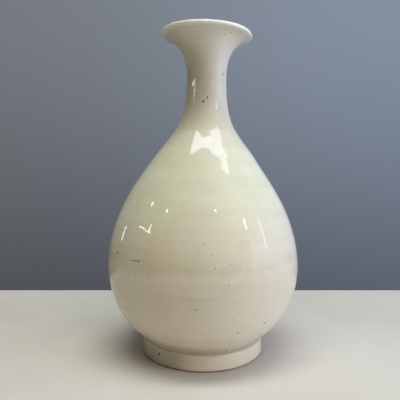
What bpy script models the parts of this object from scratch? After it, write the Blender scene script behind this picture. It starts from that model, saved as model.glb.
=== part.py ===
# Pear-shaped porcelain vase: thrown in sections, luted together with slip, and glazed inside and out.
# Metres, +Z up. The origin is the centre of the foot ring's bearing face, on the table.

import math

import bmesh
import bpy
from mathutils import Vector

# Heights, stacked from the table up
FOOT_HEIGHT = 0.0150  # upright side of the foot
BELLY_HEIGHT = 0.0810  # widest place, above the table
SHOULDER_RISE = 0.0990  # widest place to the steepest place of the shoulder
NECK_RISE = 0.0790  # shoulder to the narrowest place of the neck
MOUTH_RISE = 0.0376  # narrowest place of the neck to the underside of the lip

# Radii of the outer face
FOOT_RADIUS = 0.0562  # where the upright side of the foot ends
FOOT_SPLAY = 0.0010  # the foot is this much wider at the table
FOOT_FILLET = 0.0040  # hollow corner between foot and body
BELLY_RADIUS = 0.0902
SHOULDER_RADIUS = 0.0503
NECK_RADIUS = 0.0188
LIP_RADIUS = 0.0411  # where the underside of the mouth turns into the lip

# Directions of the outer face, up from the horizontal
BODY_ANGLE = math.radians(32)
SHOULDER_ANGLE = math.radians(57)
LIP_ANGLE = math.radians(14)

# Fullness of each curve at its lower and its upper end, as a share of its chord
LOWER_BODY_FULLNESS = (0.48, 0.10)
UPPER_BODY_FULLNESS = (0.47, 0.13)
NECK_FULLNESS = (0.39, 0.57)
MOUTH_FULLNESS = (0.36, 0.41)

# Thickness of the finished wall, glaze included
BASE_WALL = 0.0080
BELLY_WALL = 0.0065
SHOULDER_WALL = 0.0060
NECK_WALL = 0.0052
LIP_WALL = 0.0034
FLOOR_WALL = 0.0080

# Foot ring, floor and glaze line
FOOT_RING_HEIGHT = 0.0100
FOOT_RING_WIDTH = 0.0090
FOOT_CHAMFER = 0.0008
FLOOR_RADIUS = 0.0400  # flat middle of the floor
FLOOR_PULL = 0.0160  # how far the floor's curve runs straight at each end
BARE_EDGE = 0.0015  # unglazed edge of the foot

# Luted joints, and where they are on the wall
BELLY_JOINT_RISE = 0.0170  # above the widest place
NECK_JOINT_RISE = 0.0330  # above the shoulder
SLIP_THICKNESS = 0.0010
GLAZE_THICKNESS = 0.0005
GLAZE_MEETING_DROP = 0.0030  # the outer glaze runs this far below the lip, inside the mouth
FIT_GAP = 0.0003  # between pieces that touch

# The neck was luted on a little off centre, and its mouth dips to one side
NECK_SHIFT = 0.0034
SHIFT_LEAD = 0.0350  # the shift starts this far below the shoulder
SHIFT_REACH = 0.0820  # and is complete this far above it
RIM_TILT = math.radians(2)

# Facets
SIDES = 40
FILLET_STEPS = 2
LOWER_BODY_STEPS = 7
UPPER_BODY_STEPS = 7
NECK_STEPS = 7
MOUTH_STEPS = 6
LIP_STEPS = 4
FLOOR_STEPS = 5
FLOOR_TURN_STEPS = 3  # the floor's curve leaves the wall this many steps up the lower body
SMOOTH_ANGLE = math.radians(35)
WELD_DISTANCE = 1e-6

# Heights and depths that follow
SHOULDER_HEIGHT = BELLY_HEIGHT + SHOULDER_RISE
NECK_HEIGHT = SHOULDER_HEIGHT + NECK_RISE
LIP_HEIGHT = NECK_HEIGHT + MOUTH_RISE
BELLY_JOINT_HEIGHT = BELLY_HEIGHT + BELLY_JOINT_RISE
NECK_JOINT_HEIGHT = SHOULDER_HEIGHT + NECK_JOINT_RISE
GLAZE_MEETING_HEIGHT = LIP_HEIGHT - GLAZE_MEETING_DROP
SKIN = GLAZE_THICKNESS + FIT_GAP  # outer face to the clay
HALF_JOINT = SLIP_THICKNESS / 2 + FIT_GAP  # middle of a joint to the clay
FOOT_SLIP_HEIGHT = FOOT_RING_HEIGHT + FIT_GAP
UNDERSIDE_HEIGHT = FOOT_SLIP_HEIGHT + SLIP_THICKNESS + FIT_GAP  # bottom of the lower body
WELL_HEIGHT = UNDERSIDE_HEIGHT - SKIN  # glazed ceiling of the foot well
FLOOR_HEIGHT = WELL_HEIGHT + FLOOR_WALL  # glazed floor inside
WELL_RADIUS = FOOT_RADIUS + FOOT_SPLAY - FOOT_RING_WIDTH  # glazed side of the foot well
LEAN_START = SHOULDER_HEIGHT - SHIFT_LEAD
LEAN_END = SHOULDER_HEIGHT + SHIFT_REACH

UP = Vector((0, 1))
INWARD = Vector((-1, 0))


class Station:
    """A place on the outer face, in radius and height: its point, its direction up the wall, and the wall."""

    def __init__(self, point, direction, wall):
        self.point = point
        self.direction = direction.normalized()
        self.wall = wall

    def at(self, depth, along=0.0):
        """The point this deep in the wall, moved this far up along it."""
        inward = Vector((-self.direction.y, self.direction.x))
        return self.point + inward * depth + self.direction * along


class Curve:
    """A smooth stretch between two points, leaving and arriving in given directions."""

    def __init__(self, start, leaves, end, arrives, pulls):
        self.points = (start, start + leaves * pulls[0], end - arrives * pulls[1], end)

    def point(self, share):
        a, b, c, d = self.points
        rest = 1 - share
        return a * rest**3 + b * 3 * rest**2 * share + c * 3 * rest * share**2 + d * share**3

    def direction(self, share):
        a, b, c, d = self.points
        rest = 1 - share
        return (b - a) * rest**2 + (c - b) * 2 * rest * share + (d - c) * share**2

    def share_at_height(self, height):
        low, high = 0.0, 1.0
        for _ in range(40):
            middle = (low + high) / 2
            if self.point(middle).y < height:
                low = middle
            else:
                high = middle
        return (low + high) / 2

    def stations(self, shares, walls):
        return [
            Station(self.point(s), self.direction(s), walls[0] + (walls[1] - walls[0]) * s)
            for s in shares
        ]


def pointing(angle, outward):
    """A direction in radius and height, this far up from the horizontal."""
    return Vector((math.cos(angle) * outward, math.sin(angle)))


def wall_curve(start, leaves, end, arrives, fullness):
    chord = (end - start).length
    return Curve(start, leaves, end, arrives, [share * chord for share in fullness])


def even(steps):
    return [(i + 1) / steps for i in range(steps)]


def shares_through(curve, steps, height):
    """Even shares of a curve, with the one nearest to this height moved onto it, and which one that is."""
    shares = even(steps)
    wanted = curve.share_at_height(height)
    nearest = min(range(steps - 1), key=lambda i: abs(shares[i] - wanted))
    shares[nearest] = wanted
    return shares, nearest


def foot_side(height):
    """The outer face of the foot, which narrows a little towards the body."""
    return Vector((FOOT_RADIUS + FOOT_SPLAY * (1 - height / FOOT_HEIGHT), height))


def foot_stations(heights):
    return [Station(foot_side(height), UP, BASE_WALL) for height in heights]


def fillet_stations():
    """The hollow corner over the foot, turning from upright to the slope of the body."""
    centre = foot_side(FOOT_HEIGHT) - INWARD * FOOT_FILLET
    turns = [(math.pi / 2 - BODY_ANGLE) * share for share in even(FILLET_STEPS)]
    return [
        Station(
            centre + Vector((-math.cos(turn), math.sin(turn))) * FOOT_FILLET,
            Vector((math.sin(turn), math.cos(turn))),
            BASE_WALL,
        )
        for turn in turns
    ]


FILLET = fillet_stations()
BELLY = Vector((BELLY_RADIUS, BELLY_HEIGHT))
SHOULDER = Vector((SHOULDER_RADIUS, SHOULDER_HEIGHT))
NECK = Vector((NECK_RADIUS, NECK_HEIGHT))
LIP = Vector((LIP_RADIUS, LIP_HEIGHT))
INTO_NECK = pointing(SHOULDER_ANGLE, -1)

LOWER_CURVE = wall_curve(FILLET[-1].point, pointing(BODY_ANGLE, 1), BELLY, UP, LOWER_BODY_FULLNESS)
UPPER_CURVE = wall_curve(BELLY, UP, SHOULDER, INTO_NECK, UPPER_BODY_FULLNESS)
NECK_CURVE = wall_curve(SHOULDER, INTO_NECK, NECK, UP, NECK_FULLNESS)
MOUTH_CURVE = wall_curve(NECK, UP, LIP, pointing(LIP_ANGLE, 1), MOUTH_FULLNESS)

UPPER_SHARES, BELLY_JOINT = shares_through(UPPER_CURVE, UPPER_BODY_STEPS, BELLY_JOINT_HEIGHT)
NECK_SHARES, NECK_JOINT = shares_through(NECK_CURVE, NECK_STEPS, NECK_JOINT_HEIGHT)
MOUTH_SHARES, GLAZE_MEETING = shares_through(MOUTH_CURVE, MOUTH_STEPS, GLAZE_MEETING_HEIGHT)

LOWER = LOWER_CURVE.stations(even(LOWER_BODY_STEPS), (BASE_WALL, BELLY_WALL))
OVER_FLOOR = LOWER[FLOOR_TURN_STEPS - 1 :]
UPPER = UPPER_CURVE.stations(UPPER_SHARES, (BELLY_WALL, SHOULDER_WALL))
SHOULDER_TO_NECK = NECK_CURVE.stations(NECK_SHARES, (SHOULDER_WALL, NECK_WALL))
MOUTH = MOUTH_CURVE.stations(MOUTH_SHARES, (NECK_WALL, LIP_WALL))

# The joints, and the wall of each section between them
BELLY_JOINT_STATION = UPPER[BELLY_JOINT]
NECK_JOINT_STATION = SHOULDER_TO_NECK[NECK_JOINT]
UNDER_BELLY_JOINT = UPPER[:BELLY_JOINT]
UPPER_BODY_WALL = UPPER[BELLY_JOINT + 1 :] + SHOULDER_TO_NECK[:NECK_JOINT]
NECK_SECTION_WALL = SHOULDER_TO_NECK[NECK_JOINT + 1 :] + MOUTH


def outer(stations, depth):
    return [station.at(depth) for station in stations]


def inner(stations, depth):
    """The inside of the wall, from the top down, this deep under its inner face."""
    return [station.at(station.wall - depth) for station in reversed(stations)]


def across_joint(station, along):
    """A cut through the clay at a joint, from outside to inside."""
    return [station.at(SKIN, along), station.at(station.wall - SKIN, along)]


def around_lip(depth):
    """Round the lip, from its underside over the top, this deep under its face."""
    station = MOUTH[-1]
    middle = station.at(station.wall / 2)
    radius = station.wall / 2 - depth
    under = station.point - middle
    start = math.atan2(under.y, under.x)
    turns = [start + math.pi * share for share in even(LIP_STEPS)[:-1]]
    return [middle + Vector((math.cos(turn), math.sin(turn))) * radius for turn in turns]


def floor_curve(depth):
    """The inside from the wall down onto the flat floor and in to the axis, this deep under its face."""
    turn = OVER_FLOOR[0]
    start = turn.at(turn.wall - depth)
    end = Vector((FLOOR_RADIUS, FLOOR_HEIGHT - depth))
    curve = Curve(start, -turn.direction, end, INWARD, (FLOOR_PULL, FLOOR_PULL))
    return [curve.point(share) for share in even(FLOOR_STEPS)] + [Vector((0, end.y))]


def foot_ring():
    outside = foot_stations([FOOT_CHAMFER, FOOT_RING_HEIGHT])
    inside_radius = WELL_RADIUS + SKIN
    bearing_edge = foot_side(0).x - SKIN - FOOT_CHAMFER
    return [
        Vector((inside_radius + FOOT_CHAMFER, 0)),
        Vector((bearing_edge, 0)),
        *outer(outside, SKIN),
        Vector((inside_radius, FOOT_RING_HEIGHT)),
        Vector((inside_radius, FOOT_CHAMFER)),
    ]


def foot_slip():
    outside = foot_stations([FOOT_SLIP_HEIGHT, FOOT_SLIP_HEIGHT + SLIP_THICKNESS])
    inside_radius = WELL_RADIUS + SKIN
    return [
        Vector((inside_radius, FOOT_SLIP_HEIGHT)),
        *outer(outside, SKIN),
        Vector((inside_radius, FOOT_SLIP_HEIGHT + SLIP_THICKNESS)),
    ]


def lower_body():
    side = foot_stations([UNDERSIDE_HEIGHT, FOOT_HEIGHT]) + FILLET + LOWER + UNDER_BELLY_JOINT
    return [
        Vector((0, UNDERSIDE_HEIGHT)),
        *outer(side, SKIN),
        *across_joint(BELLY_JOINT_STATION, -HALF_JOINT),
        *inner(OVER_FLOOR + UNDER_BELLY_JOINT, SKIN),
        *floor_curve(SKIN),
    ]


def slip_ring(station):
    half = SLIP_THICKNESS / 2
    return [*reversed(across_joint(station, -half)), *across_joint(station, half)]


def upper_body():
    return [
        *reversed(across_joint(BELLY_JOINT_STATION, HALF_JOINT)),
        *outer(UPPER_BODY_WALL, SKIN),
        *across_joint(NECK_JOINT_STATION, -HALF_JOINT),
        *inner(UPPER_BODY_WALL, SKIN),
    ]


def neck():
    return [
        *reversed(across_joint(NECK_JOINT_STATION, HALF_JOINT)),
        *outer(NECK_SECTION_WALL, SKIN),
        *around_lip(SKIN),
        *inner(NECK_SECTION_WALL, SKIN),
    ]


def outer_glaze_face(depth):
    """The outer glaze's face, or its back, from the foot up over the lip to the meeting in the mouth."""
    side = foot_stations([BARE_EDGE, FOOT_HEIGHT]) + FILLET + LOWER + UPPER + SHOULDER_TO_NECK + MOUTH
    return [*outer(side, depth), *around_lip(depth), *inner(MOUTH[GLAZE_MEETING:], depth)]


def inner_glaze_face(depth):
    """The inner glaze's face, or its back, from the meeting in the mouth down to the middle of the floor."""
    meeting = MOUTH[GLAZE_MEETING]
    side = OVER_FLOOR + UPPER + SHOULDER_TO_NECK + MOUTH[:GLAZE_MEETING]
    return [meeting.at(meeting.wall - depth, -FIT_GAP), *inner(side, depth), *floor_curve(depth)]


def foot_well_glaze_face(depth):
    return [
        Vector((WELL_RADIUS + depth, BARE_EDGE)),
        Vector((WELL_RADIUS + depth, WELL_HEIGHT + depth)),
        Vector((0, WELL_HEIGHT + depth)),
    ]


def coat(face):
    """A coat of glaze: out along its face, and back along the side that lies on the clay."""
    return [*reversed(face(0)), *face(GLAZE_THICKNESS)]


def eased(share):
    share = min(max(share, 0.0), 1.0)
    return share * share * (3 - 2 * share)


def leaned(point):
    """The place of a turned point once the neck has shifted to +X and its mouth has dipped that way."""
    shift = NECK_SHIFT * eased((point.z - LEAN_START) / (LEAN_END - LEAN_START))
    tilt = RIM_TILT * eased((point.z - NECK_JOINT_HEIGHT) / (LIP_HEIGHT - NECK_JOINT_HEIGHT))
    return Vector((point.x + shift, point.y, point.z - point.x * math.sin(tilt)))


def finish(name, colour, roughness):
    material = bpy.data.materials.new(name)
    material.use_nodes = True
    shader = material.node_tree.nodes["Principled BSDF"]
    shader.inputs["Base Color"].default_value = (*colour, 1)
    shader.inputs["Roughness"].default_value = roughness
    shader.inputs["Metallic"].default_value = 0
    return material


def turn(name, outline, seat, material, parent):
    """A solid of revolution: the outline is spun once round the axis, and stands on its seat height."""
    shape = bmesh.new()
    points = [shape.verts.new((point.x, 0, point.y)) for point in outline]
    ends_on_axis = outline[0].x == 0
    pairs = list(zip(points, points[1:]))
    if not ends_on_axis:
        pairs.append((points[-1], points[0]))
    edges = [shape.edges.new(pair) for pair in pairs]
    bmesh.ops.spin(
        shape, geom=points + edges, axis=(0, 0, 1), angle=math.tau, steps=SIDES, use_merge=True
    )
    bmesh.ops.remove_doubles(shape, verts=shape.verts, dist=WELD_DISTANCE)
    bmesh.ops.recalc_face_normals(shape, faces=shape.faces)
    for vertex in shape.verts:
        vertex.co = leaned(vertex.co) - Vector((0, 0, seat))
    mesh = bpy.data.meshes.new(name)
    shape.to_mesh(mesh)
    shape.free()
    mesh.shade_smooth()
    mesh.set_sharp_from_angle(angle=SMOOTH_ANGLE)
    mesh.materials.append(material)
    piece = bpy.data.objects.new(name, mesh)
    piece.location.z = seat
    piece.parent = parent
    bpy.context.collection.objects.link(piece)


def main():
    for old in list(bpy.data.objects):
        bpy.data.objects.remove(old)
    vase = bpy.data.objects.new("vase", None)
    bpy.context.collection.objects.link(vase)

    clay = finish("porcelain_clay", (0.58, 0.47, 0.36), 0.75)
    slip = finish("luting_slip", (0.62, 0.54, 0.44), 0.80)
    glaze = finish("milk_white_glaze", (0.60, 0.58, 0.49), 0.12)

    turn("foot_ring", foot_ring(), 0, clay, vase)
    turn("foot_slip", foot_slip(), FOOT_SLIP_HEIGHT, slip, vase)
    turn("lower_body", lower_body(), UNDERSIDE_HEIGHT, clay, vase)
    turn("belly_slip", slip_ring(BELLY_JOINT_STATION), BELLY_JOINT_HEIGHT, slip, vase)
    turn("upper_body", upper_body(), BELLY_JOINT_HEIGHT, clay, vase)
    turn("neck_slip", slip_ring(NECK_JOINT_STATION), NECK_JOINT_HEIGHT, slip, vase)
    turn("neck", neck(), NECK_JOINT_HEIGHT, clay, vase)
    turn("outer_glaze", coat(outer_glaze_face), BARE_EDGE, glaze, vase)
    turn("inner_glaze", coat(inner_glaze_face), FLOOR_HEIGHT, glaze, vase)
    turn("foot_well_glaze", coat(foot_well_glaze_face), BARE_EDGE, glaze, vase)


main()
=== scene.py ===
import math

import bpy
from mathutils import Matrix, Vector


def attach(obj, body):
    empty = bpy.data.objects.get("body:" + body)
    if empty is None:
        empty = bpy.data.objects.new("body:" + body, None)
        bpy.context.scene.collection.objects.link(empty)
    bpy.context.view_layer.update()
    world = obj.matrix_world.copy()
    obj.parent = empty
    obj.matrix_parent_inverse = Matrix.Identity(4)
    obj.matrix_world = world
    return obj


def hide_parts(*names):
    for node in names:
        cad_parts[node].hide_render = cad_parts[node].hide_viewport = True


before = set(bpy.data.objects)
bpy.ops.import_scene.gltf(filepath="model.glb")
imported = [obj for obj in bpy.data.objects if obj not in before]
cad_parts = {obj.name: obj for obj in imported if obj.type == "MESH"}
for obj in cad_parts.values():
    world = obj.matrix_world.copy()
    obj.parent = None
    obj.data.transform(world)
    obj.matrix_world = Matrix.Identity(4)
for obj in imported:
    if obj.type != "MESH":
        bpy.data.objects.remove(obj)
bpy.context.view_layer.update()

print("frame loaded:", len(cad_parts), "nodes")

mm = 0.001
mergeDistance = 0.01 * mm
smoothAngle = math.radians(50)
arcHandle = 4 / 3 * math.tan(math.pi / 8)  # handle of a quarter circle of radius 1


def deselectAll():
    if bpy.context.object and bpy.context.object.mode != "OBJECT":
        bpy.ops.object.mode_set(mode="OBJECT")
    bpy.ops.object.select_all(action="DESELECT")


def workOn(piece):  # only this piece selected and active
    deselectAll()
    piece.select_set(True)
    bpy.context.view_layer.objects.active = piece


# camera: hand-held, a little above the middle of the vase
shot = {
    "place": (-2.9 * mm, -415.4 * mm, 169.4 * mm),
    "pitch": math.radians(3.55),  # down
    "lens": 38.84,
    "sensor": 36,
    "nearest": 10 * mm,
    "imageSide": 400,
}


def setCamera():
    bpy.ops.object.camera_add(location=shot["place"], rotation=(math.pi / 2 - shot["pitch"], 0, 0))
    camera = bpy.context.object
    camera.data.lens = shot["lens"]
    camera.data.sensor_width = shot["sensor"]
    camera.data.clip_start = shot["nearest"]
    bpy.context.scene.camera = camera
    return camera


camera = setCamera()
bpy.context.scene.view_settings.view_transform = "Standard"


# outline of the finished vase, in mm, the same as the frame's
vaseForm = {
    "footRadius": 56.2,
    "footSplay": 1.0,
    "footHeight": 15.0,
    "footHandle": 4.0,
    "footFillet": 4.0,
    "belly": (90.2, 81.0),
    "shoulder": (50.3, 180.0),
    "neck": (18.8, 259.0),
    "lip": (41.1, 296.6),
    "bodyAngle": 32,
    "shoulderAngle": 57,
    "lipAngle": 15,
    "fullness": ((0.48, 0.10), (0.47, 0.13), (0.39, 0.57), (0.36, 0.41)),
    "walls": {"belly": 6.5, "shoulder": 6.0, "neck": 5.2, "lip": 3.4},
    "glaze": 0.5,
    "bareEdge": 1.5,
    "neckShift": 3.4,
    "leanStart": 145.0,
    "leanEnd": 262.0,
    "neckJoint": 213.0,
    "rimTilt": math.radians(2),
    "meetingBack": 9.0,  # how far inside the mouth the outer glaze ends
    "meetingDrop": 1.1,
    "meetingDip": 0.25,
}
lipEdge = {"out": 0.97, "under": 0.3, "slope": 0.4, "handle": 0.7}  # as shares of its rounding


class Knot:  # a point of an outline with its two handles, in mm, x out and y up
    def __init__(self, at, heading, back=0.0, ahead=0.0):
        self.at = Vector(at)
        self.heading = Vector(heading).normalized()
        self.back = back
        self.ahead = ahead

    def deeper(self, depth):  # the same knot inside the wall
        inward = Vector((-self.heading.y, self.heading.x))
        return Knot(self.at + inward * depth, self.heading, self.back, self.ahead)


def slanted(degrees, out=1):
    return Vector((out * math.cos(math.radians(degrees)), math.sin(math.radians(degrees))))


def wallKnots():  # the outer face, from the foot's glaze edge up to the underside of the lip
    form = vaseForm
    footTop = Vector((form["footRadius"], form["footHeight"]))
    bare = form["bareEdge"]
    footEdge = Vector((form["footRadius"] + form["footSplay"] * (1 - bare / form["footHeight"]), bare))
    turn = math.radians(90 - form["bodyAngle"])
    fillet = form["footFillet"]
    filletEnd = footTop + Vector((fillet * (1 - math.cos(turn)), fillet * math.sin(turn)))
    filletHandle = 4 / 3 * math.tan(turn / 4) * fillet
    up = Vector((0, 1))
    knots = [
        Knot(footEdge, footTop - footEdge, 0, form["footHandle"]),
        Knot(footTop, up, form["footHandle"], filletHandle),
        Knot(filletEnd, slanted(form["bodyAngle"]), filletHandle),
        Knot(form["belly"], up),
        Knot(form["shoulder"], slanted(form["shoulderAngle"], -1)),
        Knot(form["neck"], up),
        Knot(form["lip"], slanted(form["lipAngle"])),
    ]
    for first, second, (leave, arrive) in zip(knots[2:], knots[3:], form["fullness"]):
        chord = (second.at - first.at).length
        first.ahead = leave * chord
        second.back = arrive * chord
    return knots


def lipKnots(lip, wall, depth):  # from the underside of the lip over its edge to the inside
    middle = lip.deeper(wall / 2).at
    radius = wall / 2 - depth
    inward = Vector((-lip.heading.y, lip.heading.x))
    handle = arcHandle * radius
    edge = middle + lip.heading * radius * lipEdge["out"] - inward * radius * lipEdge["under"]
    slope = inward - lip.heading * lipEdge["slope"]  # the edge faces a little upward
    return [
        Knot(middle - inward * radius, lip.heading, lip.back, handle),
        Knot(edge, slope, handle * lipEdge["handle"], handle),
        Knot(middle + inward * radius, -lip.heading, handle, lip.back),
    ]


outerKnots = wallKnots()
print("outline knots:", len(outerKnots))


def mouthEnd(depth):  # where the two glaze coats meet inside the mouth
    inside = lipKnots(outerKnots[-1], vaseForm["walls"]["lip"], depth)[-1]
    return inside.at + inside.heading * vaseForm["meetingBack"] + Vector((0, -vaseForm["meetingDrop"]))


def drawCurve(knots, steps):  # a Bezier curve in the XZ plane, made a mesh
    deselectAll()
    bpy.ops.curve.primitive_bezier_curve_add(location=(0, 0, 0))
    curve = bpy.context.object
    curve.data.dimensions = "3D"
    curve.data.resolution_u = steps
    spline = curve.data.splines[0]
    spline.bezier_points.add(len(knots) - len(spline.bezier_points))
    for point, knot in zip(spline.bezier_points, knots):
        point.handle_left_type = "FREE"
        point.handle_right_type = "FREE"
        places = (knot.at, knot.at - knot.heading * knot.back, knot.at + knot.heading * knot.ahead)
        point.co, point.handle_left, point.handle_right = [Vector((p.x, 0, p.y)) * mm for p in places]
    bpy.ops.object.convert(target="MESH")
    return bpy.context.object


def straightLine(start, end):
    return drawCurve([Knot(start, end - start), Knot(end, end - start)], 1)


def addGroup(piece, name, weight):  # vertex weights from a function of the vertex's place in mm
    group = piece.vertex_groups.new(name=name)
    for vertex in piece.data.vertices:
        amount = weight(vertex.co / mm)
        if amount > 0:
            group.add([vertex.index], amount, "REPLACE")


def spinOutline(name, curves, around):  # the outline turned once round the axis
    deselectAll()
    for curve in curves:
        curve.select_set(True)
    bpy.context.view_layer.objects.active = curves[0]
    if len(curves) > 1:
        bpy.ops.object.join()
    piece = bpy.context.object
    piece.name = name
    piece.data.name = name
    bpy.ops.object.mode_set(mode="EDIT")
    bpy.ops.mesh.select_all(action="SELECT")
    bpy.ops.mesh.remove_doubles(threshold=mergeDistance)
    bpy.ops.mesh.select_all(action="SELECT")
    bpy.ops.mesh.spin(steps=around, angle=math.tau, center=(0, 0, 0), axis=(0, 0, 1))
    bpy.ops.mesh.select_all(action="SELECT")
    bpy.ops.mesh.remove_doubles(threshold=mergeDistance)
    bpy.ops.mesh.select_all(action="SELECT")
    bpy.ops.mesh.normals_make_consistent(inside=False)
    bpy.ops.object.mode_set(mode="OBJECT")
    bpy.ops.object.shade_smooth_by_angle(angle=smoothAngle)
    return piece


def eased(share):
    share = min(max(share, 0), 1)
    return share * share * (3 - 2 * share)


def leanNeck(piece):  # the neck stands off centre and the rim dips, as on the frame
    form = vaseForm
    top = form["lip"][1]
    for vertex in piece.data.vertices:
        x, _, z = vertex.co / mm
        shift = form["neckShift"] * eased((z - form["leanStart"]) / (form["leanEnd"] - form["leanStart"]))
        tilt = form["rimTilt"] * eased((z - form["neckJoint"]) / (top - form["neckJoint"]))
        vertex.co.x += shift * mm
        vertex.co.z -= x * math.sin(tilt) * mm


patternOrigin = (0.31, 0.17, 0.23)  # off centre, so no grid point of a pattern lies on the axis


def displace(piece, name, strength, group, detail=None, stretch=None, direction="NORMAL", lift=0):
    workOn(piece)
    modifier = piece.modifiers.new(name, "DISPLACE")
    modifier.strength = strength * mm
    modifier.mid_level = 0.5 if detail else 0
    modifier.vertex_group = group
    modifier.direction = direction
    guide = None
    if detail:  # an uneven pattern, as wide as stretch says in mm
        clouds = bpy.data.textures.new(name, "CLOUDS")
        clouds.noise_scale = 1
        clouds.noise_depth = detail
        modifier.texture = clouds
        across, deep, high = patternOrigin
        bpy.ops.object.empty_add(location=(across, deep, high + lift * mm))
        guide = bpy.context.object
        guide.scale = [size * mm for size in stretch]
        bpy.context.view_layer.update()
        modifier.texture_coords = "OBJECT"
        modifier.texture_coords_object = guide
    workOn(piece)
    bpy.ops.object.modifier_apply(modifier=modifier.name)
    if guide:
        bpy.data.objects.remove(guide)


# outer glaze: from just above the floor up over the lip into the mouth
outerGlazeSizes = {
    "around": 300,
    "frontSteps": 30,
    "backSteps": 6,
    "rollHeight": 17.2,  # pooled glaze over the foot
    "rollReach": 2.6,
    "rollProud": 0.9,
    "wanderReach": 6.5,  # where the roll runs unevenly
    "creaseHeight": 14.4,  # where the roll ends on the foot
    "creaseReach": 1.4,
    "creaseDepth": 0.25,
    "swellHeight": 180.0,  # soft ring round the shoulder
    "swellReach": 24.0,
    "swellProud": 0.35,
    "skinFade": 6.0,  # the waves die out towards both ends of the coat
    "skinOver": 1.0,
    "lipFrom": 297.2,  # the glaze is thick over the lip from here up
    "lipReach": 1.8,
    "lipRise": 0.1,
    "lipSideRise": 0.65,
    "lipLeft": 0.8,
}
glazeWaves = {
    "rollWander": {
        "group": "rollLine", "strength": 2.6, "detail": 2, "stretch": (28, 28, 60), "direction": "Z",
    },
    "throwingRings": {
        "group": "skin", "strength": 0.22, "detail": 1, "stretch": (160, 160, 9), "lift": -13.0,
    },
    "wheelWobble": {"group": "skin", "strength": 0.5, "detail": 1, "stretch": (70, 70, 50)},
    "glazeRipple": {"group": "skin", "strength": 0.14, "detail": 2, "stretch": (13, 13, 10)},
}
# the foot isn't quite round: wider to the left and to the front
footSpread = {
    "from": 50.0,  # nothing nearer the axis moves
    "fromReach": 4.0,
    "left": 1.7,
    "leftTop": 26.0,
    "leftReach": 10.0,
    "front": 1.7,
    "frontTop": 18.0,
}


def bump(distance, reach):
    return max(0, 1 - (distance / reach) ** 2) ** 2


def thickenLip(piece):  # higher at both sides, and a little wider on the left
    sizes = outerGlazeSizes
    for vertex in piece.data.vertices:
        x, _, z = vertex.co / mm
        share = eased((z - sizes["lipFrom"]) / sizes["lipReach"])
        side = (x / vaseForm["lip"][0]) ** 2
        vertex.co.z += share * (sizes["lipRise"] + sizes["lipSideRise"] * side) * mm
        if x < 0:
            vertex.co.x -= share * sizes["lipLeft"] * side * mm


def spreadFoot(piece):
    sizes = footSpread
    for vertex in piece.data.vertices:
        x, y, z = vertex.co / mm
        reach = math.hypot(x, y)
        share = eased((reach - sizes["from"]) / sizes["fromReach"])
        if x < 0:
            lower = eased((sizes["leftTop"] - z) / sizes["leftReach"])
            vertex.co.x -= share * lower * sizes["left"] * (x / reach) ** 2 * mm
        if y < 0:
            lower = eased((sizes["frontTop"] - z) / sizes["frontTop"])
            vertex.co.y -= share * lower * sizes["front"] * (y / reach) ** 2 * mm


def modelOuterGlaze():
    sizes = outerGlazeSizes
    endHandle = vaseForm["meetingBack"] / 3

    def face(depth):
        side = [knot.deeper(depth) for knot in outerKnots[:-1]]
        rim = lipKnots(outerKnots[-1], vaseForm["walls"]["lip"], depth)
        inside = rim[-1]
        inside.ahead = endHandle
        dipping = inside.heading + Vector((0, -vaseForm["meetingDip"]))
        return side + rim + [Knot(mouthEnd(depth), dipping, endHandle)]

    def addBand(name, height, reach):  # a soft band round the coat
        addGroup(frontCurve, name, lambda p: bump(p.z - height, reach))

    front = face(0)
    back = face(vaseForm["glaze"])
    frontCurve = drawCurve(front, sizes["frontSteps"])
    low, high = vaseForm["bareEdge"], vaseForm["lip"][1] + sizes["skinOver"]
    fade = sizes["skinFade"]
    addGroup(frontCurve, "skin", lambda p: eased((p.z - low) / fade) * eased((high - p.z) / fade))
    addBand("roll", sizes["rollHeight"], sizes["rollReach"])
    addBand("crease", sizes["creaseHeight"], sizes["creaseReach"])
    addBand("rollLine", sizes["rollHeight"], sizes["wanderReach"])
    addBand("swell", sizes["swellHeight"], sizes["swellReach"])
    backCurve = drawCurve(back, sizes["backSteps"])
    ends = [straightLine(front[0].at, back[0].at), straightLine(front[-1].at, back[-1].at)]
    piece = spinOutline("outer_glaze_coat", [frontCurve, backCurve, *ends], sizes["around"])
    displace(piece, "pooledRoll", sizes["rollProud"], "roll")
    displace(piece, "footCrease", -sizes["creaseDepth"], "crease")
    displace(piece, "shoulderSwell", sizes["swellProud"], "swell")
    for name, wave in glazeWaves.items():
        displace(piece, name, **wave)
    thickenLip(piece)
    spreadFoot(piece)
    leanNeck(piece)
    return piece


outerGlaze = modelOuterGlaze()
print("outer glaze:", len(outerGlaze.data.polygons), "faces")


# inner glaze: from inside the mouth down the wall and across the bottom
innerGlazeSizes = {
    "around": 160,
    "steps": 14,
    "bottomWall": (18.4, 8.0),  # height, wall
    "bottomTurn": 42.0,  # the wall bends towards the bottom below this height
    "bottom": (40.0, 18.8),
    "bottomPull": 16.0,
    "bottomHandle": 8.0,
    "meetingGap": 0.4,
}
wallStations = [innerGlazeSizes["bottomWall"]]
wallStations += [(vaseForm[station][1], wall) for station, wall in vaseForm["walls"].items()]


def wallAt(height):
    for (low, lowWall), (high, highWall) in zip(wallStations, wallStations[1:]):
        if height <= high:
            return lowWall + (highWall - lowWall) * (height - low) / (high - low)
    return wallStations[-1][1]


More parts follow.
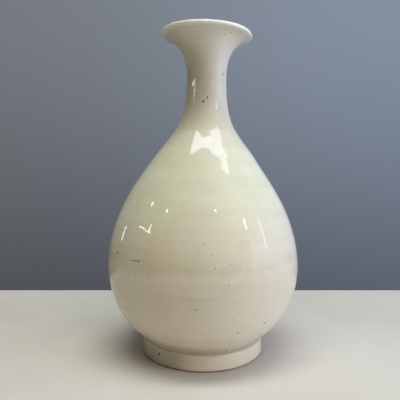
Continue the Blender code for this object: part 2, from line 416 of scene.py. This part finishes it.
def insideLine(depth):  # the outer face moved in through the wall, then the bottom
    sizes = innerGlazeSizes
    side = drawCurve(outerKnots[2:], sizes["steps"])
    points = [vertex.co / mm for vertex in side.data.vertices]
    neighbours = zip(points[:1] + points, points[1:] + points[-1:])
    for vertex, point, (before, after) in zip(side.data.vertices, points, neighbours):
        along = (after - before).normalized()
        vertex.co = (point + Vector((-along.z, 0, along.x)) * (wallAt(point.z) - depth)) * mm
    heights = [vertex.co.z / mm for vertex in side.data.vertices]
    meeting = mouthEnd(depth)
    low, high = sizes["bottomTurn"], meeting.y - sizes["meetingGap"]
    kept = [i for i, height in enumerate(heights) if low < height < high]
    turn = side.data.vertices[kept[0]].co / mm
    nextUp = side.data.vertices[kept[1]].co / mm
    endPoint = side.data.vertices[kept[-1]].co / mm
    for vertex in side.data.vertices:
        vertex.select = vertex.index not in kept
    workOn(side)
    bpy.ops.object.mode_set(mode="EDIT")
    bpy.ops.mesh.delete(type="VERT")
    bpy.ops.object.mode_set(mode="OBJECT")
    down = Vector((turn.x - nextUp.x, turn.z - nextUp.z))
    bottomEdge = Vector((sizes["bottom"][0], sizes["bottom"][1] - depth))
    inward = Vector((-1, 0))
    bottom = drawCurve([
        Knot((turn.x, turn.z), down, 0, sizes["bottomPull"]),
        Knot(bottomEdge, inward, sizes["bottomPull"], sizes["bottomHandle"]),
        Knot((0, bottomEdge.y), inward, sizes["bottomHandle"]),
    ], sizes["steps"])
    return [side, bottom, straightLine(Vector((endPoint.x, endPoint.z)), meeting)]


def modelInnerGlaze():
    depth = vaseForm["glaze"]
    curves = insideLine(0) + insideLine(depth) + [straightLine(mouthEnd(0), mouthEnd(depth))]
    piece = spinOutline("inner_glaze_coat", curves, innerGlazeSizes["around"])
    leanNeck(piece)
    return piece


innerGlaze = modelInnerGlaze()
print("inner glaze:", len(innerGlaze.data.polygons), "faces")


# foot: a bare ring with rounded edges, and the glazed recess inside it
footSizes = {
    "around": 192,
    "inner": 48.7,
    "outer": 56.9,  # at the bottom
    "outerTop": 55.6,
    "height": 10.0,
    "round": 0.6,
    "bevelSteps": 4,
    "wornTop": 3.0,
    "wornDepth": 0.25,
    "wornGrain": (7, 7, 5),
}
wellSizes = {"around": 128, "radius": 48.2, "ceiling": 10.8, "low": 1.5, "corner": 1.6, "steps": 6}


def modelFootRing():
    sizes = footSizes
    inner, outer, top, edge = sizes["inner"], sizes["outer"], sizes["height"], sizes["round"]
    handle = arcHandle * edge
    right, up, left, down = Vector((1, 0)), Vector((0, 1)), Vector((-1, 0)), Vector((0, -1))
    outline = drawCurve([
        Knot((inner, edge), down, 0, handle),
        Knot((inner + edge, 0), right, handle),
        Knot((outer - edge, 0), right, 0, handle),
        Knot((outer, edge), up, handle),
        Knot((sizes["outerTop"], top), up),
        Knot((inner, top), left),
        Knot((inner, edge), down),
    ], sizes["bevelSteps"])
    piece = spinOutline("bare_foot_ring", [outline], sizes["around"])
    addGroup(piece, "worn", lambda p: eased((sizes["wornTop"] - p.z) / sizes["wornTop"]))
    displace(piece, "wornEdge", sizes["wornDepth"], "worn", detail=2, stretch=sizes["wornGrain"])
    for vertex in piece.data.vertices:
        vertex.co.z = max(vertex.co.z, 0)  # nothing under the floor
    spreadFoot(piece)
    return piece


def modelFootWell():
    sizes = wellSizes

    def face(depth):
        radius, ceiling = sizes["radius"] + depth, sizes["ceiling"] + depth
        corner = sizes["corner"] + depth
        handle = arcHandle * corner
        up, inward = Vector((0, 1)), Vector((-1, 0))
        return [
            Knot((radius, sizes["low"]), up),
            Knot((radius, ceiling - corner), up, 0, handle),
            Knot((radius - corner, ceiling), inward, handle),
            Knot((0, ceiling), inward),
        ]

    front, back = face(0), face(vaseForm["glaze"])
    curves = [drawCurve(front, sizes["steps"]), drawCurve(back, sizes["steps"])]
    curves.append(straightLine(front[0].at, back[0].at))
    return spinOutline("foot_well_coat", curves, sizes["around"])


footRing = modelFootRing()
footWell = modelFootWell()
print("foot:", len(footRing.data.polygons) + len(footWell.data.polygons), "faces")


# shader sockets that take Python's operators
class Wire:
    def __init__(self, paint, socket):
        self.paint = paint
        self.socket = socket

    def maths(self, operation, first, second):
        return self.paint.node("ShaderNodeMath", {"operation": operation}, {0: first, 1: second})

    def __add__(self, other):
        return self.maths("ADD", self, other)

    def __sub__(self, other):
        return self.maths("SUBTRACT", self, other)

    def __rsub__(self, other):
        return self.maths("SUBTRACT", other, self)

    def __mul__(self, other):
        return self.maths("MULTIPLY", self, other)

    def __or__(self, other):  # the larger of two masks
        return self.maths("MAXIMUM", self, other)

    __radd__ = __add__
    __rmul__ = __mul__


class Paint:
    def __init__(self, owner):
        owner.use_nodes = True
        self.tree = owner.node_tree
        self.tree.nodes.clear()

    def node(self, kind, settings, sockets, output=0):
        node = self.tree.nodes.new(kind)
        for key, value in settings.items():
            setattr(node, key, value)
        for key, value in sockets.items():
            if isinstance(value, Wire):
                self.tree.links.new(value.socket, node.inputs[key])
            else:
                node.inputs[key].default_value = value
        return Wire(self, node.outputs[output]) if len(node.outputs) else node

    def place(self):  # the piece's own coordinates, in metres
        return self.node("ShaderNodeTexCoord", {}, {}, "Object")

    def part(self, vector, axis):
        return self.node("ShaderNodeSeparateXYZ", {}, {0: vector}, "XYZ".index(axis))

    def vectors(self, operation, *vectors):
        output = "Value" if operation == "LENGTH" else "Vector"
        return self.node("ShaderNodeVectorMath", {"operation": operation}, dict(enumerate(vectors)), output)

    def noise(self, vector, scale, detail=3, roughness=0.5):
        sockets = {"Vector": vector, "Scale": scale, "Detail": detail, "Roughness": roughness}
        return self.node("ShaderNodeTexNoise", {}, sockets)

    def fade(self, value, start, end, low=0.0, high=1.0):  # smooth step from low at start to high at end
        sockets = {0: value, 1: start, 2: end, 3: low, 4: high}
        return self.node("ShaderNodeMapRange", {"interpolation_type": "SMOOTHSTEP"}, sockets)

    def blend(self, factor, first, second, mode="MIX"):  # of two colours
        settings = {"data_type": "RGBA", "blend_type": mode}
        return self.node("ShaderNodeMix", settings, {0: factor, 6: first, 7: second}, 2)

    def stretched(self, vector, scale):
        return self.node("ShaderNodeMapping", {}, {"Vector": vector, "Scale": scale})

    def bumps(self, height, strength, distance):
        sockets = {"Strength": strength, "Distance": distance, "Height": height}
        return self.node("ShaderNodeBump", {}, sockets)

    def surface(self, sockets):
        shader = self.node("ShaderNodeBsdfPrincipled", {}, sockets)
        self.node("ShaderNodeOutputMaterial", {}, {0: shader})


def srgb(red, green, blue):  # a colour as seen on screen, made linear
    shares = (red / 255, green / 255, blue / 255)
    return (*[c / 12.92 if c <= 0.04045 else ((c + 0.055) / 1.055) ** 2.4 for c in shares], 1)


# iron specks and pinholes: where they are in the picture, how wide in mm, how dark
specks = {
    "neckDark": (203.2, 101.6, 1.8, 1.0),
    "neckDarkSmall": (207.2, 97.3, 1.4, 1.0),
    "neckRight": (223.2, 74.3, 1.4, 0.9),
    "underLip": (225.4, 34.3, 1.2, 0.6),
    "underLipRight": (231.0, 33.0, 1.2, 0.6),
    "underLipMiddle": (199.0, 32.1, 1.1, 0.5),
    "underLipLeft": (168.0, 30.2, 1.3, 0.8),
    "shoulderLeft": (157.3, 160.9, 1.1, 0.6),
    "shoulderMiddle": (208.6, 152.0, 1.2, 0.5),
    "bellyPit": (117.4, 252.7, 1.8, 1.0),
    "seamPit": (138.2, 261.2, 1.6, 1.0),
    "bellyMiddle": (212.5, 255.4, 1.3, 0.35),
    "bellyHigh": (203.1, 244.6, 1.3, 0.35),
    "bellyLow": (215.2, 268.7, 1.3, 0.4),
    "bellyLeft": (148.9, 272.8, 1.3, 0.45),
    "bellyLeftSmall": (135.1, 274.1, 1.2, 0.45),
    "bellyRight": (230.6, 264.7, 1.3, 0.3),
    "lowRight": (229.2, 285.5, 1.4, 0.35),
    "lowLeft": (161.6, 286.8, 1.2, 0.35),
    "lowMiddle": (195.8, 310.1, 1.4, 0.5),
    "lowLeftFaint": (159.6, 315.1, 1.2, 0.35),
    "lowRightFaint": (232.9, 318.6, 1.2, 0.35),
    "lowerRight": (264.5, 323.1, 1.8, 0.9),
    "lowerRightSmall": (237.9, 332.9, 1.4, 0.8),
    "farRight": (283.5, 298.8, 1.3, 0.4),
    "footRight": (226.6, 351.0, 1.6, 1.0),
    "footLine": (170.3, 349.4, 1.5, 0.7),
    "footLeft": (159.3, 353.9, 1.9, 1.0),
}
seamCrack = {"place": (134.8, 260.9), "width": 9.0, "flatness": 11.0, "strength": 0.75}


def pictureRay(x, y):  # the ray through a place of the picture
    half = shot["imageSide"] / 2
    across = camera.data.sensor_width / 2 / shot["lens"]
    ahead = Vector(((x - half) / half * across, (half - y) / half * across, -1))
    bpy.context.view_layer.update()
    return camera.matrix_world.translation, (camera.matrix_world.to_3x3() @ ahead).normalized()


def placeOn(piece, x, y):  # the place on the piece that the picture shows there
    _, spot, _, _ = piece.ray_cast(*pictureRay(x, y))
    return spot


def speckPlaces(piece):  # place, width, strength, flatness
    places = [(placeOn(piece, x, y), width, strength, 1) for x, y, width, strength in specks.values()]
    crack = placeOn(piece, *seamCrack["place"])
    return places + [(crack, seamCrack["width"], seamCrack["strength"], seamCrack["flatness"])]


glazeColours = {
    "celadon": srgb(224, 223, 199),  # shoulder and upper belly
    "buff": srgb(224, 213, 190),  # lower body
    "thin": srgb(213, 200, 184),  # neck, where the clay shows through
    "shade": srgb(198, 188, 161),
    "grain": srgb(160, 148, 121),
    "lipPaleAndLit": srgb(244, 242, 235),  # lip: paler glaze, and partly a painted highlight where the lip's edge catches the light from above
    "poolAndShade": srgb(168, 157, 132),  # thicker glaze in the roll over the foot, and partly painted shade on the roll's underside and on the left of the foot
    # warmer glaze over the foot, and partly painted warm light bounced up from below
    "foot": srgb(232, 213, 184),
    "iron": srgb(44, 30, 18),
}
# where the glaze changes, from and to, in metres: up the vase, out from the neck's axis, and across
glazeHeights = {
    "green": (0.085, 0.165),
    "neck": (0.185, 0.235),
    "jointLow": (0.089, 0.094),
    "jointHigh": (0.096, 0.103),
    "lip": (0.28, 0.29),
    "foot": (0.0125, 0.0140),
    "poolAndShadeLow": (0.0132, 0.0144),
    "poolAndShadeHigh": (0.0148, 0.0290),
}
glazeReaches = {"nearLip": (0.0380, 0.0404), "lipEdge": (0.0412, 0.0421), "ranLeft": (-0.026, -0.010)}
# how fine each pattern is, in grains to the metre
glazeGrains = {"cloud": 14, "mottle": 70, "fine": 900, "pits": 85, "waves": 110, "ripples": 260}
bandStretch = (9, 9, 150)
glazeGloss = {"smooth": 0.03, "mottled": 0.07, "ior": 1.5}


def glazeMaterial(name, spots):
    material = bpy.data.materials.new(name)
    paint = Paint(material)
    colours, heights, reaches, grains = glazeColours, glazeHeights, glazeReaches, glazeGrains
    place = paint.place()
    height = paint.part(place, "Z")
    cloud = paint.noise(place, grains["cloud"], 4)
    mottle = paint.noise(place, grains["mottle"], 4, 0.6)
    grain = paint.noise(place, grains["fine"], 2)
    bands = paint.noise(paint.stretched(place, bandStretch), 1, 4)

    # buff below, greenish above, and thin on the neck
    green = paint.fade(height, *heights["green"]) * 0.8 + (cloud - 0.5) * 0.9
    colour = paint.blend(paint.fade(green, 0.0, 0.9), colours["buff"], colours["celadon"])
    neckMask = paint.fade(height + (cloud - 0.5) * 0.05, *heights["neck"])
    colour = paint.blend(neckMask * 0.7, colour, colours["thin"])

    # mottles, faint bands, the joint round the belly and a fine grain
    shade = paint.fade(mottle, 0.35, 0.75) * 0.35 + paint.fade(bands, 0.45, 0.7) * 0.4
    jointHeight = height + (cloud - 0.5) * 0.012
    joint = paint.fade(jointHeight, *heights["jointLow"])
    joint = joint * paint.fade(jointHeight, *heights["jointHigh"], 1, 0)
    shade = shade * 0.5 + joint * paint.fade(mottle, 0.3, 0.6) * 0.35
    colour = paint.blend(shade, colour, colours["shade"])
    colour = paint.blend(paint.fade(grain, 0.60, 0.72) * 0.16, colour, colours["grain"])

    # pale on the lip, where the glaze is thicker, and partly a painted highlight along the lip's edge, which
    # catches the light from above
    offAxis = paint.vectors("MULTIPLY_ADD", place, (1, 1, 0), (-vaseForm["neckShift"] * mm, 0, 0))
    reach = paint.vectors("LENGTH", offAxis)
    lipPaleAndHighlightMask = paint.fade(reach, *reaches["nearLip"]) * 0.38 + paint.fade(reach, *reaches["lipEdge"]) * 0.6
    colour = paint.blend(lipPaleAndHighlightMask * paint.fade(height, *heights["lip"]), colour, colours["lipPaleAndLit"])

    # pooled over the foot, where the glaze flowed lower on the left; the darker colour on the left of the
    # foot is partly painted shade, and the warm foot colour is partly painted light bounced up from below
    lineHeight = height + (cloud - 0.5) * 0.004 + (mottle - 0.5) * 0.0015
    low = paint.fade(lineHeight, *heights["foot"], 1, 0)
    ranLeftAndShade = paint.fade(paint.part(place, "X"), *reaches["ranLeft"], 1, 0)
    colour = paint.blend(low * 0.6, colour, paint.blend(ranLeftAndShade, colours["foot"], colours["poolAndShade"]))
    # a darker band over the roll: thicker glaze, and partly painted shade on the roll's underside
    line = paint.fade(lineHeight, *heights["poolAndShadeLow"]) * paint.fade(lineHeight, *heights["poolAndShadeHigh"], 1, 0)
    colour = paint.blend(line * 0.7, colour, colours["poolAndShade"])

    # scattered pinholes, then the specks that have their own places
    cells = {"Vector": place, "Scale": grains["pits"], "Randomness": 1}
    near = paint.node("ShaderNodeTexVoronoi", {}, cells, "Distance")
    pick = paint.part(paint.node("ShaderNodeTexVoronoi", {}, cells, "Color"), "X")
    mask = paint.fade(near, 0.02, 0.055, 1, 0) * paint.fade(pick, 0.80, 0.95) * 0.5
    for spot, width, strength, flatness in spots:
        offset = paint.vectors("SUBTRACT", place, spot)
        flat = paint.vectors("MULTIPLY", offset, (1, 1, flatness))
        distance = paint.vectors("LENGTH", flat)
        mask = mask | paint.fade(distance, width * 0.3 * mm, width * 0.75 * mm, strength, 0)
    colour = paint.blend(mask * 0.95, colour, colours["iron"])

    dent = paint.noise(place, grains["waves"], 2) * 0.06 + paint.noise(place, grains["ripples"], 2) * 0.03
    dent = dent + grain * 0.008 - mask * 0.15
    paint.surface({
        "Base Color": colour,
        "Roughness": paint.fade(mottle, 0.3, 0.8, glazeGloss["smooth"], glazeGloss["mottled"]),
        "Normal": paint.bumps(dent, 1.0, 1 * mm),
        "IOR": glazeGloss["ior"],
    })
    return material


gritColour = srgb(70, 48, 34)


def clayMaterial(name, dark, light, roughness):
    material = bpy.data.materials.new(name)
    paint = Paint(material)
    place = paint.place()
    cloud = paint.noise(place, 60, 4)
    grit = paint.noise(place, 1400, 3, 0.7)
    colour = paint.blend(paint.fade(cloud, 0.3, 0.7), dark, light)
    colour = paint.blend(paint.fade(grit, 0.55, 0.75) * 0.35, colour, gritColour)
    normal = paint.bumps(grit, 0.4, 0.3 * mm)
    paint.surface({"Base Color": colour, "Roughness": roughness, "Normal": normal})
    return material


def dress(piece, material, node=None):  # a piece of the scene, or a node of the frame as it is
    piece.data.materials.clear()
    piece.data.materials.append(material)
    if node:
        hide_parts(node)
        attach(piece, "root")


outerPaint = glazeMaterial("milkWhiteGlaze", speckPlaces(outerGlaze))
innerPaint = glazeMaterial("milkWhiteGlazeInside", [])
dress(outerGlaze, outerPaint, "outer_glaze")
dress(innerGlaze, innerPaint, "inner_glaze")
dress(footWell, innerPaint, "foot_well_glaze")
burnt = clayMaterial("burntClay", srgb(138, 110, 88), srgb(170, 142, 116), 0.8)
dress(footRing, burnt, "foot_ring")
clay = clayMaterial("bareClay", srgb(190, 165, 138), srgb(208, 186, 158), 0.85)
slip = clayMaterial("lutingSlip", srgb(204, 186, 162), srgb(216, 200, 178), 0.8)
for node in ("lower_body", "upper_body", "neck"):
    dress(bpy.data.objects[node], clay)
for node in ("foot_slip", "belly_slip", "neck_slip"):
    dress(bpy.data.objects[node], slip)
print("pieces painted")


# floor: plain and pale, with a rounded edge behind the vase
floorSizes = {
    "left": -0.6,
    "right": 1.4,
    "front": -1.3,
    "back": 0.208,
    "edge": 0.008,
    "edgeSteps": 5,
    "apron": 0.12,
}
floorColours = {"dark": srgb(213, 207, 200), "light": srgb(220, 215, 209)}


def selectBackEdges(floor):  # at floor height
    bpy.ops.mesh.select_all(action="DESELECT")
    bpy.ops.object.mode_set(mode="OBJECT")
    for edge in floor.data.edges:
        ends = [floor.data.vertices[v].co for v in edge.vertices]
        edge.select = all(end.y > 0 and end.z > -mergeDistance for end in ends)
    bpy.ops.object.mode_set(mode="EDIT")


def makeFloor():
    deselectAll()
    sizes = floorSizes
    bpy.ops.mesh.primitive_plane_add(size=2, location=(0, 0, 0))
    floor = bpy.context.object
    floor.name = "floor"
    bpy.ops.object.mode_set(mode="EDIT")
    bpy.ops.mesh.select_all(action="SELECT")
    wide, deep = sizes["right"] - sizes["left"], sizes["back"] - sizes["front"]
    bpy.ops.transform.resize(value=(wide / 2, deep / 2, 1))
    bpy.ops.transform.translate(value=(sizes["left"] + wide / 2, sizes["front"] + deep / 2, 0))
    bpy.ops.mesh.select_mode(type="EDGE")
    selectBackEdges(floor)
    bpy.ops.mesh.extrude_region_move(TRANSFORM_OT_translate={"value": (0, 0, -sizes["apron"])})
    selectBackEdges(floor)
    bpy.ops.mesh.bevel(offset=sizes["edge"], segments=sizes["edgeSteps"], affect="EDGES")
    bpy.ops.object.mode_set(mode="OBJECT")
    return floor


def floorMaterial():
    material = bpy.data.materials.new("paleFloor")
    paint = Paint(material)
    place = paint.place()
    cloud = paint.noise(place, 9, 3)
    fine = paint.noise(place, 900, 2)
    colour = paint.blend(paint.fade(cloud, 0.3, 0.7), floorColours["dark"], floorColours["light"])
    paint.surface({"Base Color": colour, "Roughness": 0.85, "Normal": paint.bumps(fine, 0.2, 0.3 * mm)})
    return material


floor = makeFloor()
floor.data.materials.append(floorMaterial())


# studio light: a ceiling panel and fills that give no reflection, two lamps overhead for the highlight
# on the shoulder, and small tubes for the streaks and sparkles
white, soft, bright = (0.95, 1.0, 0.95), (0.96, 1.0, 0.78), (0.73, 0.78, 0.95)
warm, cool, blue = (1.0, 0.95, 0.86), (0.85, 0.93, 1.0), (0.50, 0.68, 1.0)
fills = {
    "ceiling": {"at": (0.15, -0.35, 1.9), "size": (1.2, 2.0), "watts": 7.6, "colour": white},
    "fill": {"at": (-0.05, -0.28, 1.31), "size": (0.9, 0.3), "watts": 6.35, "colour": soft},
    "fillRight": {"at": (1.20, -0.25, 0.25), "size": (0.6, 0.4), "watts": 4.5, "colour": blue},
    "fillLow": {"at": (0.90, -0.55, 0.12), "size": (0.4, 0.2), "watts": 1.5, "colour": blue},
}
lamps = {
    "lampLong": {"at": (-0.075, -0.183, 1.30), "size": (0.65, 0.165), "watts": 2.5, "colour": bright},
    "lampRight": {"at": (0.485, -0.183, 1.30), "size": (0.47, 0.285), "watts": 2.25, "colour": bright},
    "tubeLeft": {"at": (-1.40, -0.31, 0.65), "size": (0.52, 0.025), "watts": 0.65, "colour": warm},
    "tubeNeck": {"at": (-1.40, -0.48, 0.765), "size": (0.04, 0.17), "watts": 0.38, "colour": warm},
    "tubeHigh": {"at": (-1.00, -0.09, 0.82), "size": (0.04, 0.05), "watts": 0.10, "colour": warm},
    "tubeFront": {"at": (-1.00, -0.67, 1.07), "size": (0.05, 0.06), "watts": 0.16, "colour": warm},
    "tubeBack": {"at": (-1.25, 0.56, 0.30), "size": (0.06, 0.19), "watts": 0.22, "colour": cool},
    "tubeTop": {"at": (0.34, -0.99, 1.17), "size": (0.05, 0.06), "watts": 0.18, "colour": warm},
    "tubeSide": {"at": (1.10, -0.24, 0.48), "size": (0.06, 0.40), "watts": 0.28, "colour": cool},
    "tubeRight": {"at": (1.10, -0.70, 0.86), "size": (0.06, 0.20), "watts": 0.7, "colour": warm},
}
lampTarget = Vector((0, 0, 0.14))
overheadFrom = 1.2  # lamps that hang higher shine straight down


def addLamps(group, mirrored):
    for name, lamp in group.items():
        deselectAll()
        bpy.ops.object.light_add(type="AREA", location=lamp["at"])
        light = bpy.context.object
        light.name = name
        light.data.shape = "RECTANGLE"
        light.data.size, light.data.size_y = lamp["size"]
        light.data.energy = lamp["watts"]
        light.data.color = lamp["colour"]
        light.visible_glossy = mirrored
        if lamp["at"][2] < overheadFrom:
            light.rotation_euler = (lampTarget - light.location).to_track_quat("-Z", "Y").to_euler()


addLamps(fills, False)
addLamps(lamps, True)


# surroundings: a plain grey backdrop, paler above and bluer on the right, dark elsewhere,
# with a warm glow from the front right and a cool light from the right
studioShades = {
    "backdropLow": srgb(56, 58, 62),
    "backdropHigh": srgb(120, 124, 130),
    "rightTint": (1.3, 1.45, 1.65, 1),
    "dim": (0.02, 0.018, 0.015, 1),
    "frontGlow": (0.90, 0.75, 0.60, 1),
    "coolSide": (0.85, 1.10, 1.75, 1),
}
# from and to, along a direction of length 1: to the right, to the back and up
studioReaches = {
    "backdrop": (0.45, 0.8),
    "backdropRise": (-0.6, 0.45),
    "backdropRight": (-0.45, 0.45),
    "glowFront": (0.1, -0.6),
    "glowRight": (0.0, 0.6),
    "sideTurn": (-0.04, 0.06),
    "sideBack": (0.0, 0.75),
    "sideRight": (0.45, 0.6),
    "sideLow": (-0.3, -0.05),
    "sideHigh": (0.2, 0.5),
}
sideFacing = (0.53, 0.85)  # right and back


def setWorld():
    shades, reaches = studioShades, studioReaches
    world = bpy.data.worlds.new("studio")
    bpy.context.scene.world = world
    paint = Paint(world)
    way = paint.node("ShaderNodeTexCoord", {}, {}, "Generated")
    across, deep, up = [paint.part(way, axis) for axis in "XYZ"]
    rise = paint.fade(up, *reaches["backdropRise"])
    rightward = paint.fade(across, *reaches["backdropRight"])
    backdrop = paint.blend(rise, shades["backdropLow"], shades["backdropHigh"])
    backdrop = paint.blend(rightward, backdrop, shades["rightTint"], "MULTIPLY")
    glow = paint.fade(deep, *reaches["glowFront"]) * paint.fade(across, *reaches["glowRight"])
    side = paint.fade(across * sideFacing[0] + deep * sideFacing[1], *reaches["sideTurn"])
    side = side * paint.fade(deep, *reaches["sideBack"], 1, 0.25) * paint.fade(across, *reaches["sideRight"])
    side = side * paint.fade(up, *reaches["sideLow"]) * paint.fade(up, *reaches["sideHigh"], 1, 0)
    colour = paint.blend(paint.fade(deep, *reaches["backdrop"]), shades["dim"], backdrop)
    colour = paint.blend(glow, colour, shades["frontGlow"], "ADD")
    colour = paint.blend(side, colour, shades["coolSide"], "ADD")
    shine = paint.node("ShaderNodeBackground", {}, {"Color": colour, "Strength": 1.0})
    paint.node("ShaderNodeOutputWorld", {}, {0: shine})


setWorld()
print("floor, lamps and world set")
